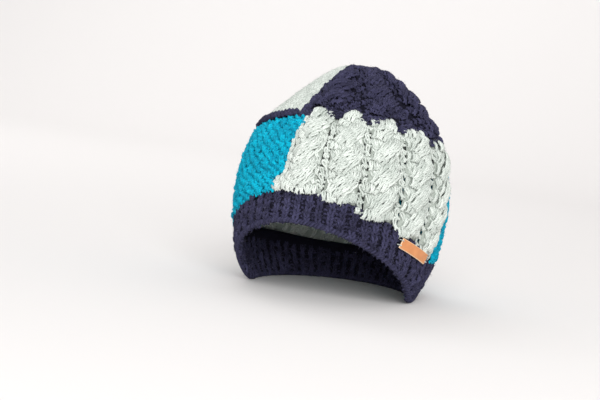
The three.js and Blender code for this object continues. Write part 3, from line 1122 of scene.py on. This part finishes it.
def tan_leather():
    """Smooth tan leather: mottled colour, fine grain in bump, and pale raw edges by attribute."""
    material, tree, shader = new_material("tan_leather", {"Roughness": 0.55})
    where = add_node(tree, "TexCoord").outputs["Object"]
    mottle = add_node(tree, "TexNoise", {"Vector": where, "Scale": 160, "Detail": 4}).outputs["Fac"]
    tan = mixed(tree, mottle, linear(186, 116, 68), linear(222, 152, 98))
    edge = add_node(tree, "Attribute", attribute_name="cut_edge").outputs["Fac"]
    raw = mixed(tree, edge, tan, linear(236, 204, 168))
    grain = add_node(tree, "TexVoronoi", {"Vector": where, "Scale": 1600}).outputs["Distance"]
    bump = add_node(tree, "Bump", {"Strength": 0.25, "Distance": 0.0002, "Height": grain})
    feed(tree, shader, {"Base Color": raw, "Normal": bump.outputs["Normal"]})
    return material


tag_points, tag_faces, tag_cut = tag_surface()
tag = add_piece("tag_leather", tag_points, tag_faces, tan_leather())
tag.data.attributes.new("cut_edge", "FLOAT", "POINT").data.foreach_set("value", tag_cut)
settle(tag, "leather_tag")

THREAD_RADIUS = 0.0004
THREAD_SAMPLES = 12
THREAD_UP = 0.0022
THREAD_REACH = 0.0016
THREAD_FOOT = 0.4
THREAD_ARCH = 0.0019
THREAD_SINK = 0.0012
THREAD_BEND = 0.2


def tag_stitch(end, up):
    """A stitch over one end of the tag: half an oval from the tag's face to the band, into which its
    outer end is sunk."""
    part = np.linspace(0, np.pi, THREAD_SAMPLES + 1)
    along = end * (TAG_LENGTH / 2 + THREAD_REACH * np.cos(part))
    sunk = THREAD_SINK * (np.cos(part) > THREAD_BEND)
    raised = TAG_CLEAR + TAG_THICK * THREAD_FOOT + THREAD_ARCH * np.sin(part) - sunk
    turn, share = tag_place(along, np.full(along.shape, up))
    return on_hat(turn, share, raised), outwards(turn, share)


tag_stitches = [tag_stitch(end, up) for end in (-1, 1) for up in (-THREAD_UP, THREAD_UP)]
knit_piece(
    "tag_thread",
    "leather_tag",
    pale,
    np.stack([path for path, way in tag_stitches]),
    np.stack([way for path, way in tag_stitches]),
    THREAD_RADIUS,
)


# Floor, light and camera
# A seamless pale paper floor that curves up behind the hat, a broad soft light from the front, one on
# the paper, and the camera a little above the floor, held slightly askew as in the photograph.

PAPER_BACK = 1.6
PAPER_FRONT = -3.0
PAPER_SIDE = 4.0
PAPER_CURVE = 1.2
PAPER_TOP = 4.0
PAPER_SAMPLES = 24


def paper_sweep():
    """The paper's profile, flat, then a quarter circle, then upright, carried straight sideways."""
    bend = np.linspace(0, np.pi / 2, PAPER_SAMPLES)
    back = np.concatenate([[PAPER_FRONT], PAPER_BACK + PAPER_CURVE * np.sin(bend)])
    up = np.concatenate([[0.0], PAPER_CURVE * (1 - np.cos(bend))])
    back, up = np.append(back, back[-1]), np.append(up, PAPER_TOP)
    profile = np.stack([back, up], axis=-1)
    left = np.insert(profile, 0, -PAPER_SIDE, axis=1)
    right = np.insert(profile, 0, PAPER_SIDE, axis=1)
    points = np.concatenate([left, right])
    count = len(profile)
    number = np.arange(count - 1)
    faces = np.stack([number, number + count, number + count + 1, number + 1], axis=-1)
    return points, faces.tolist()


paper_look = {"Base Color": linear(234, 232, 231), "Roughness": 0.9, "Specular IOR Level": 0.1}
paper, _, _ = new_material("paper", paper_look)
floor = add_piece("floor", *paper_sweep(), paper)

VIEW_TURN = np.radians(20)
VIEW_RISE = np.radians(4)
VIEW_ROLL = np.radians(7)
VIEW_DISTANCE = 1.3
VIEW_HEIGHT = 0.100
PHOTO_WIDE, PHOTO_TALL = 600, 400
PHOTO_MIDDLE = np.array([344, 178])
HAT_SCALE = 0.0008785
SENSOR = 36.0

away = np.array(
    [
        np.sin(VIEW_TURN) * np.cos(VIEW_RISE),
        -np.cos(VIEW_TURN) * np.cos(VIEW_RISE),
        np.sin(VIEW_RISE),
    ]
)
level = np.array([np.cos(VIEW_TURN), np.sin(VIEW_TURN), 0.0])
upright = np.cross(away, level)
aim = np.array([*HAT_MIDDLE, VIEW_HEIGHT])
right = level * np.cos(VIEW_ROLL) + upright * np.sin(VIEW_ROLL)
top = upright * np.cos(VIEW_ROLL) - level * np.sin(VIEW_ROLL)
lens = bpy.data.cameras.new("camera")
lens.sensor_width = SENSOR
lens.lens = SENSOR * VIEW_DISTANCE / (PHOTO_WIDE * HAT_SCALE)
lens.shift_x = -(PHOTO_MIDDLE[0] - PHOTO_WIDE / 2) / PHOTO_WIDE
lens.shift_y = (PHOTO_MIDDLE[1] - PHOTO_TALL / 2) / PHOTO_WIDE
camera = bpy.data.objects.new("camera", lens)
axes = Matrix([right, top, away]).transposed().to_4x4()
camera.matrix_world = Matrix.Translation(Vector(aim + away * VIEW_DISTANCE)) @ axes
bpy.context.scene.collection.objects.link(camera)
bpy.context.scene.camera = camera


def soft_light(name, place, size, power, towards):
    """A square soft light at a place, turned towards another."""
    lamp = bpy.data.lights.new(name, "AREA")
    lamp.size = size
    lamp.energy = power
    light = bpy.data.objects.new(name, lamp)
    turned = (Vector(place) - Vector(towards)).to_track_quat("Z", "Y")
    light.matrix_world = Matrix.Translation(Vector(place)) @ turned.to_matrix().to_4x4()
    bpy.context.scene.collection.objects.link(light)


soft_light("window_light", (1.15, -2.4, 1.3), size=1.8, power=84, towards=aim)
soft_light("paper_light", (-1.2, 1.0, 1.8), size=1.6, power=16, towards=(-1.2, 1.9, 0.0))
world = bpy.data.worlds.new("studio")
world.use_nodes = True
sky = {"Color": (1.0, 0.985, 0.98, 1.0), "Strength": 0.61}
feed(world.node_tree, world.node_tree.nodes["Background"], sky)
bpy.context.scene.world = world
bpy.context.scene.view_settings.view_transform = "Standard"
